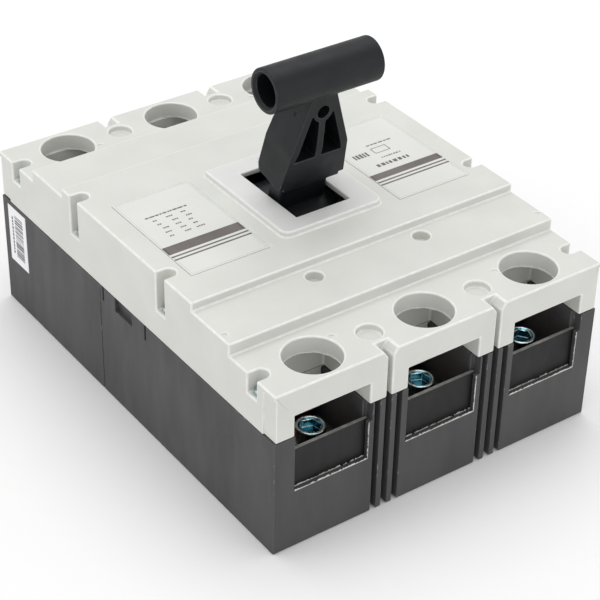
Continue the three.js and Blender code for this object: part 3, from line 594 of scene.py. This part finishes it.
def build_hole_flash():
    random = Random(90)
    bm = bmesh.new()
    for bolt in BOLTS:
        add_torn_ring(bm, random, bolt, mm(ACCESS_RADIUS), LOW_STEP - mm(9.5), mm(0.7))
    for bore in BORES:
        add_torn_ring(bm, random, bore, mm(BORE_RADIUS), LOW_STEP - mm(BORE_WALL), mm(0.5))
    rings = new_object("hole_flash", bm)
    # The rings take the cover's paler edge colour: a painted highlight mixed with wear.
    paint(rings, LIGHT_EDGE)
    settle(rings)


for pole in POLES:
    build_flash(pole)
build_hole_flash()

# ---------------------------------------------------------------- symbols and prints

PRINT_THICK = 0.03


def build_marks():
    """Raised I and O beside the handle's window."""
    bm = bmesh.new()
    plate = COVER_HIGH.z
    low, high = plate - mm(0.1), plate + mm(0.22)
    add_block(bm, (mm(-0.45), mm(-40.9), low), (mm(0.45), mm(-35.9), high))
    outer, inner, centre = mm(2.6), mm(1.75), mm(27.3)
    ring = [(inner, low), (outer, low), (outer, high), (inner, high), (inner, low)]
    add_turned(bm, ring, Matrix.Translation((0, centre, 0)), 40)
    marks = new_object("position_marks", bm)
    paint(marks, SURROUND, LIGHT_EDGE)
    round_edges(marks, 0.15, 2)
    settle(marks)


def add_print(bm, x, y, plane):
    """One printed rectangle between two X and two Y, in millimetres, on a level plane."""
    add_block(bm, (mm(min(x)), mm(y[0]), plane - mm(0.01)), (mm(max(x)), mm(y[1]), plane + mm(PRINT_THICK)))


def add_dash_row(bm, random, x, y, plane, dash=(1.6, 4.2), gap=(0.5, 1.4)):
    """A row of dashes of uneven length, filling x from end to end."""
    place = x[0]
    while place < x[1] - dash[0]:
        stop = min(x[1], place + random.uniform(*dash))
        add_print(bm, (place, stop), y, plane)
        place = stop + random.uniform(*gap)


def add_frame(bm, x, y, line, plane):
    """A hairline rectangle."""
    for level in y:
        add_print(bm, x, (level - line / 2, level + line / 2), plane)
    for upright in x:
        add_print(bm, (upright - line / 2, upright + line / 2), y, plane)


def left_prints(bm, random, plane):
    add_print(bm, (-91, -43.3), (-23, -15.5), plane)
    for level in (-26.1, -29.1):
        add_print(bm, (-91, -43.3), (level, level + 1.2), plane)
    add_dash_row(bm, random, (-83, -57), (13.4, 14.6), plane, (0.9, 3.4), (0.3, 0.7))
    for row in range(5):
        level = 9.2 - row * 4.3
        for column in (-81, -72.5, -64):
            start = column + random.uniform(0, 1.4)
            add_dash_row(bm, random, (start, start + random.uniform(2.8, 5)), (level, level + 1.1), plane,
                         (0.8, 1.3), (0.3, 0.4))


def right_prints(bm, random, plane):
    add_print(bm, (43.3, 91), (-22.4, -16.7), plane)
    for level in (-25.5, -28.4):
        add_print(bm, (43.3, 91), (level, level + 1.2), plane)
    add_dash_row(bm, random, (54, 76), (-11.4, -8.6), plane, (1.2, 3.0), (0.7, 1.3))
    add_dash_row(bm, random, (62, 76), (-4.2, -3.1), plane, (0.8, 1.6), (0.4, 0.8))
    add_dash_row(bm, random, (48, 58), (1.5, 6), plane, (1.0, 1.8), (0.7, 0.9))
    add_frame(bm, (62, 72), (1.8, 7.2), 0.5, plane)
    add_dash_row(bm, random, (62, 80), (10.6, 11.6), plane, (1.2, 3.0), (0.4, 0.8))


def build_label_print(side, draw, seed):
    low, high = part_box(f"data_label_{side}")
    bm = bmesh.new()
    draw(bm, Random(seed), high.z)
    ink = new_object(f"label_print_{side}", bm)
    paint(ink, INK)
    settle(ink)
    bm = bmesh.new()
    inset = 1.2
    x = (low.x * 1000 + inset, high.x * 1000 - inset)
    y = (low.y * 1000 + inset, high.y * 1000 - inset)
    add_frame(bm, x, y, 0.25, high.z)
    outline = new_object(f"label_outline_{side}", bm)
    paint(outline, HAIRLINE)
    settle(outline)


def build_sticker_print():
    """Bars and a short dash row on the code sticker, on the left wall."""
    low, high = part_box("code_sticker")
    random = Random(7)
    bm = bmesh.new()
    wall = (low.x - mm(PRINT_THICK), low.x + mm(0.01))
    place = low.z + mm(5)
    while place < high.z - mm(5):
        thick = mm(random.choice((0.35, 0.35, 0.7, 1.05)))
        add_block(bm, (wall[0], low.y + mm(4), place), (wall[1], high.y - mm(7.5), place + thick))
        place += thick + mm(random.choice((0.35, 0.7, 0.7, 1.05)))
    place = low.z + mm(6)
    while place < high.z - mm(8):
        long = mm(random.uniform(1, 2))
        add_block(bm, (wall[0], high.y - mm(5.5), place), (wall[1], high.y - mm(4), place + long))
        place += long + mm(0.8)
    bars = new_object("sticker_print", bm)
    paint(bars, BARCODE_INK)
    settle(bars)


build_marks()
build_label_print("left", left_prints, 11)
build_label_print("right", right_prints, 12)
build_sticker_print()

# ---------------------------------------------------------------- terminal bolts and cover screws

BAR_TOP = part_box("line_terminal_bolt_1")[1].z - mm(12.2)     # underside of the flat washer
WASHER = {"radius": 10.5, "bore": 5.4, "thick": 1.6}
LOCK = {"radius": 8.8, "bore": 5.2, "thick": 2, "open": 9, "rise": 0.3}
HEAD = {"radius": 8, "height": 8.6, "flats": 10, "depth": 5, "mouth": 6.7}
SHANK = {"radius": 4.9, "root": 4.2, "pitch": 1.5}


def thread_profile(radius, root, pitch, low, high):
    """Rings of a thread drawn as ridges, from low to high in millimetres."""
    points = [(0, mm(low)), (mm(root), mm(low))]
    level = low
    while level + pitch < high:
        points += [(mm(root), mm(level + 0.1 * pitch)), (mm(radius), mm(level + 0.5 * pitch))]
        level += pitch
    return points + [(mm(radius), mm(high - 0.4)), (mm(radius), mm(high)), (0, mm(high))]


def add_lock_washer(bm, place, low, start):
    """A split ring of square section whose two ends stand apart in height."""
    steps = 46
    sweep = math.tau - math.radians(LOCK["open"])
    rings = []
    for step in range(steps + 1):
        share = step / steps
        angle = start + sweep * share
        lift = LOCK["rise"] * (share - 0.5)
        ring = []
        for radius, height in ((LOCK["bore"], 0), (LOCK["radius"], 0),
                               (LOCK["radius"], LOCK["thick"]), (LOCK["bore"], LOCK["thick"])):
            spot = mm(radius * math.cos(angle), radius * math.sin(angle), low + height + lift)
            ring.append(bm.verts.new(place @ spot))
        rings.append(ring)
    for before, after in zip(rings, rings[1:]):
        for index in range(4):
            following = (index + 1) % 4
            bm.faces.new((before[index], before[following], after[following], after[index]))
    bm.faces.new(list(reversed(rings[0])))
    bm.faces.new(rings[-1])


def socket_cut(bm, place, turn, top):
    """Six flats going down; the cone that opens them at the mouth is cut by mouth_cut."""
    across = HEAD["flats"] / math.sqrt(3)
    six = [tuple(mm(x, y)) for x, y in circle(across, 6, turn)]
    add_prism(bm, six, mm(top - HEAD["depth"]), mm(top + 1), place)


def mouth_cut(bm, place, top):
    deep = 1.0
    low = HEAD["mouth"] - 1.5
    profile = [(0, mm(top - deep)), (mm(low), mm(top - deep)), (mm(HEAD["mouth"]), mm(top)),
               (mm(HEAD["mouth"]), mm(top + 1)), (0, mm(top + 1))]
    add_turned(bm, profile, place, 48)


def build_bolt(node, name, turn):
    place = Matrix.Translation((middle(node).x, middle(node).y, BAR_TOP))
    lock = WASHER["thick"]
    under = lock + LOCK["thick"]
    top = under + HEAD["height"]
    radius = HEAD["radius"]
    bm = bmesh.new()
    profile = [(0, under - 0.1), (radius - 0.3, under - 0.1), (radius, under + 0.3), (radius, top - 0.75),
               (radius - 0.2, top - 0.25), (radius - 0.7, top), (0, top)]
    add_turned(bm, [(mm(r), mm(z)) for r, z in profile], place)
    bolt = new_object(name, bm)
    boolean(bolt, "DIFFERENCE", lambda cut: socket_cut(cut, place, turn, top))
    boolean(bolt, "DIFFERENCE", lambda cut: mouth_cut(cut, place, top))
    bm = bmesh.new()
    bm.from_mesh(bolt.data)
    washer = [(WASHER["bore"], 0), (WASHER["radius"] - 0.25, 0), (WASHER["radius"], 0.25),
              (WASHER["radius"], lock - 0.35), (WASHER["radius"] - 0.35, lock), (WASHER["bore"], lock),
              (WASHER["bore"], 0)]
    add_turned(bm, [(mm(r), mm(z)) for r, z in washer], place)
    add_lock_washer(bm, place, lock, turn * 2)
    low = (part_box(node)[0].z - BAR_TOP) * 1000
    add_turned(bm, thread_profile(SHANK["radius"], SHANK["root"], SHANK["pitch"], low, under), place, 32)
    bm.to_mesh(bolt.data)
    bm.free()
    paint(bolt, MATERIALS["zinc"], ZINC_RIM_HIGHLIGHT, SOCKET_ZINC_SHADED)
    round_edges(bolt, 0.25, 2)
    # Faces inside the socket take the darker zinc: painted shade in the recess.
    for face in bolt.data.polygons:
        reach = (face.center.xy - place.translation.xy).length
        if reach < mm(HEAD["mouth"]) and face.center.z > place.translation.z + mm(top - HEAD["depth"] - 0.1):
            face.material_index = 2
    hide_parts(node)
    settle(bolt)


def build_screw(node, name, turn):
    low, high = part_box(node)
    place = Matrix.Translation((middle(node).x, middle(node).y, high.z))
    bm = bmesh.new()
    head = [(0, -2.8), (3.45, -2.8), (3.5, -2.5), (3.5, -1.5), (3.2, -0.7), (2.5, -0.15), (1.6, 0), (0, 0)]
    add_turned(bm, [(mm(r), mm(z)) for r, z in head], place, 40)
    screw = new_object(name, bm)
    for quarter in (0, math.pi / 2):
        arm = place @ Matrix.Rotation(turn + quarter, 4, "Z")
        outline = [tuple(mm(x, y)) for x, y in ((-2, -0.45), (2, -0.45), (2, 0.45), (-2, 0.45))]
        boolean(screw, "DIFFERENCE", lambda cut: add_prism(cut, outline, mm(-1.3), mm(0.5), arm))
    bm = bmesh.new()
    bm.from_mesh(screw.data)
    length = (low.z - high.z) * 1000
    add_turned(bm, thread_profile(2, 1.6, 0.8, length, -2.7), place, 16)
    bm.to_mesh(screw.data)
    bm.free()
    paint(screw, MATERIALS["zinc"], ZINC_RIM_HIGHLIGHT)
    round_edges(screw, 0.15, 1)
    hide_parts(node)
    settle(screw)


turns = Random(3)
for end in ENDS:
    for pole in POLES:
        build_bolt(f"{end}_terminal_bolt_{pole}", f"{end}_bolt_{pole}", turns.uniform(0, math.pi))
for side in SIDES:
    for number in SCREW_NUMBERS:
        build_screw(f"cover_screw_{side}_{number}", f"screw_{side}_{number}", turns.uniform(0, math.pi))

# ---------------------------------------------------------------- extension handle
# Its own frame: origin at the handle's pivot, Z along the handle, Y through its thickness.

HANDLE_FRAME = Matrix.Translation(mm(0, 2, 68)) @ Matrix.Rotation(math.radians(12.5), 4, "X")
GRIP = HANDLE_FRAME @ Matrix.Translation(mm(0, 0, 127)) @ Matrix.Rotation(math.pi / 2, 4, "Y")
GRIP_LONG = 34.12
GRIP_ROUND = 12.33


def cut_grip(bm):
    profile = [(0, mm(-36)), (mm(12), mm(-36)), (mm(12), mm(36)), (0, mm(36))]
    add_turned(bm, profile, GRIP, 96)


def turn_grip(bm):
    bore, long = 8.8, GRIP_LONG
    half = [(bore, long - 1.6), (bore + 0.5, long - 1.0), (bore + 1.3, long - 0.3), (bore + 1.6, long),
            (GRIP_ROUND - 0.9, long), (GRIP_ROUND - 0.35, long - 0.2), (GRIP_ROUND - 0.1, long - 0.5),
            (GRIP_ROUND, long - 0.9)]
    ring = [(r, -z) for r, z in half] + half[::-1]
    add_turned(bm, [(mm(r), mm(z)) for r, z in ring + ring[:1]], GRIP, 96)


def cut_dimple(bm):
    """A shallow round mark high on the lever's left face."""
    tilt = Matrix.Rotation(math.radians(-72), 4, "Y")
    profile = [(0, mm(-0.55)), (mm(1.5), mm(-0.55)), (mm(1.7), mm(3)), (0, mm(3))]
    add_turned(bm, profile, HANDLE_FRAME @ Matrix.Translation(mm(-11.9, -1.5, 106)) @ tilt, 24)


def build_extension():
    lever = copy_node("extension_handle", "extension_lever")
    boolean(lever, "DIFFERENCE", cut_grip)
    boolean(lever, "UNION", turn_grip)
    boolean(lever, "DIFFERENCE", cut_dimple)
    paint(lever, MATERIALS["handle"], BLACK_EDGE)
    round_edges(lever, 0.5, 3)
    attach(lever, "extension")


build_extension()

# ---------------------------------------------------------------- camera, light and floor

VIEW_AZIMUTH = math.radians(-35.99)
VIEW_HEIGHT = math.radians(34.627)
VIEW_ROLL = math.radians(1.297)
VIEW_DISTANCE = mm(1037.614)
VIEW_CENTRE = mm(-5.232, -20.855, 50)
LENS = 111.378


def build_camera():
    back = Vector((
        math.sin(VIEW_AZIMUTH) * math.cos(VIEW_HEIGHT),
        -math.cos(VIEW_AZIMUTH) * math.cos(VIEW_HEIGHT),
        math.sin(VIEW_HEIGHT),
    ))
    level = Vector((0, 0, 1)).cross(back).normalized()
    upright = back.cross(level)
    right = math.cos(VIEW_ROLL) * level + math.sin(VIEW_ROLL) * upright
    up = math.cos(VIEW_ROLL) * upright - math.sin(VIEW_ROLL) * level
    camera = bpy.data.objects.new("camera", bpy.data.cameras.new("camera"))
    turn = Matrix((right, up, back)).transposed().to_4x4()
    camera.matrix_world = Matrix.Translation(VIEW_CENTRE + back * VIEW_DISTANCE) @ turn
    camera.data.lens = LENS
    camera.data.sensor_width = 36
    camera.data.clip_start = 0.01
    bpy.context.scene.collection.objects.link(camera)
    bpy.context.scene.camera = camera


def build_light(name, place, size, power):
    light = bpy.data.lights.new(name, "AREA")
    light.shape = "DISK"
    light.size = size
    light.energy = power
    lamp = bpy.data.objects.new(name, light)
    lamp.location = place
    lamp.rotation_euler = (-Vector(place)).to_track_quat("-Z", "Y").to_euler()
    bpy.context.scene.collection.objects.link(lamp)


def build_stage():
    bm = bmesh.new()
    add_block(bm, (-4, -4, -0.02), (4, 4, -0.0004))
    floor = new_object("floor", bm)
    finish = Finish("floor_paper", specular=0.2)
    finish.colour(finish.blend(finish.noise(3, 2), linear(249, 249, 249), linear(252, 252, 252)))
    finish.gloss(finish.noise(40, 2), 0.8, 0.9)
    paint(floor, finish.material)
    world = bpy.data.worlds.new("studio")
    world.use_nodes = True
    background = world.node_tree.nodes["Background"]
    background.inputs["Color"].default_value = (1, 1, 1, 1)
    background.inputs["Strength"].default_value = 0.74
    bpy.context.scene.world = world
    bpy.context.scene.view_settings.view_transform = "Standard"


build_camera()
build_stage()
build_light("overhead", (0.2, 0.3, 1.6), 1.6, 9.5)
build_light("left_back", (-1.5, 0.5, 0.9), 1.2, 3)
build_light("front", (0.5, -1.7, 0.7), 1.4, 3)
